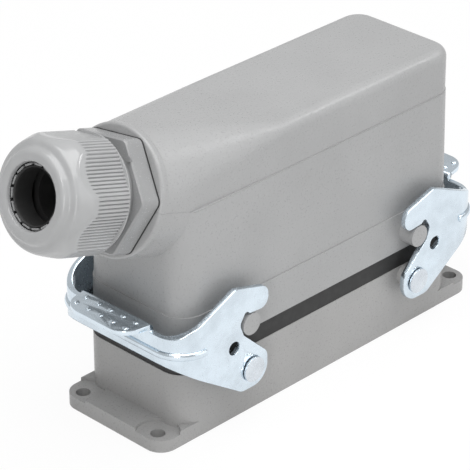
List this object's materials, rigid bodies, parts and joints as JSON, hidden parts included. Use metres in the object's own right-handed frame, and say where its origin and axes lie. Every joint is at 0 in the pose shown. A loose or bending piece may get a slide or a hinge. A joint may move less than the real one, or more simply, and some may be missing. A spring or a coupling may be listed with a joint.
{
  "type": "heavy duty rectangular connector",
  "caption": "Closed rectangular industrial connector: bulkhead base with two locking levers, rubber rim gasket, tall hood with angled side entry and a clamping cable gland.",
  "frame": {"origin": "centre of the four panel holes, in the panel face", "axes": "+X along the length, away from the cable gland; +Z out of the panel, up through the hood"},
  "size_m": [0.1745, 0.0554, 0.1028],
  "materials": {
    "cast_base": "fine textured grey paint over die-cast alloy",
    "cast_hood": "fine textured grey paint over die-cast alloy",
    "seal_rubber": "matt black rubber",
    "rim_rubber": "matt black rubber",
    "rivet_steel": "bright zinc plate",
    "lever_steel": "bright blue zinc plate",
    "gland_plastic": "satin grey moulded plastic",
    "nut_plastic": "satin grey moulded plastic",
    "claw_plastic": "satin grey moulded plastic",
    "ring_rubber": "matt black rubber",
    "cone_rubber": "matt black rubber",
    "insert_plastic": "light grey moulding",
    "contact_metal": "plated copper alloy",
    "screw_steel": "zinc plate",
    "earth_steel": "zinc plate"
  },
  "bodies": {
    "housing": {"base_housing": "cast_base", "hood_housing": "cast_hood", "panel_seal": "seal_rubber", "rim_gasket": "rim_rubber", "pivot_rivets": "rivet_steel", "gland_body": "gland_plastic", "gland_ring": "ring_rubber", "gland_seal": "cone_rubber", "socket_insert": "insert_plastic", "pin_insert": "insert_plastic", "socket_contacts": "contact_metal", "pin_contacts": "contact_metal", "base_terminal_screws": "screw_steel", "hood_terminal_screws": "screw_steel", "base_insert_screws": "screw_steel", "hood_insert_screws": "screw_steel", "base_earth_plates": "earth_steel", "hood_earth_plates": "earth_steel"},
    "left_lever": {"lever_left": "lever_steel"},
    "right_lever": {"lever_right": "lever_steel"},
    "clamp": {"gland_claws": "claw_plastic"},
    "cap_nut": {"gland_cap_nut": "nut_plastic"}
  },
  "joints": [
    {"name": "left_lever_pivot", "type": "hinge", "parent": "housing", "child": "left_lever", "pos_m": [-0.0364, 0, 0.0182], "axis": [0, -1, 0], "range_deg": [0, 40]},
    {"name": "right_lever_pivot", "type": "hinge", "parent": "housing", "child": "right_lever", "pos_m": [0.0364, 0, 0.0182], "axis": [0, 1, 0], "range_deg": [0, 40]},
    {"name": "gland_travel", "type": "slide", "parent": "housing", "child": "clamp", "axis": [0.9537, 0, -0.3007], "range_m": [0, 0.00225]},
    {"name": "cap_nut_turn", "type": "hinge", "parent": "clamp", "child": "cap_nut", "pos_m": [-0.08497, 0, 0.08441], "axis": [0.9537, 0, -0.3007], "range_deg": [0, 540]}
  ],
  "couplings": [
    {"joint": "gland_travel", "follows": "cap_nut_turn", "m_per_rad": 0.00023873}
  ]
}
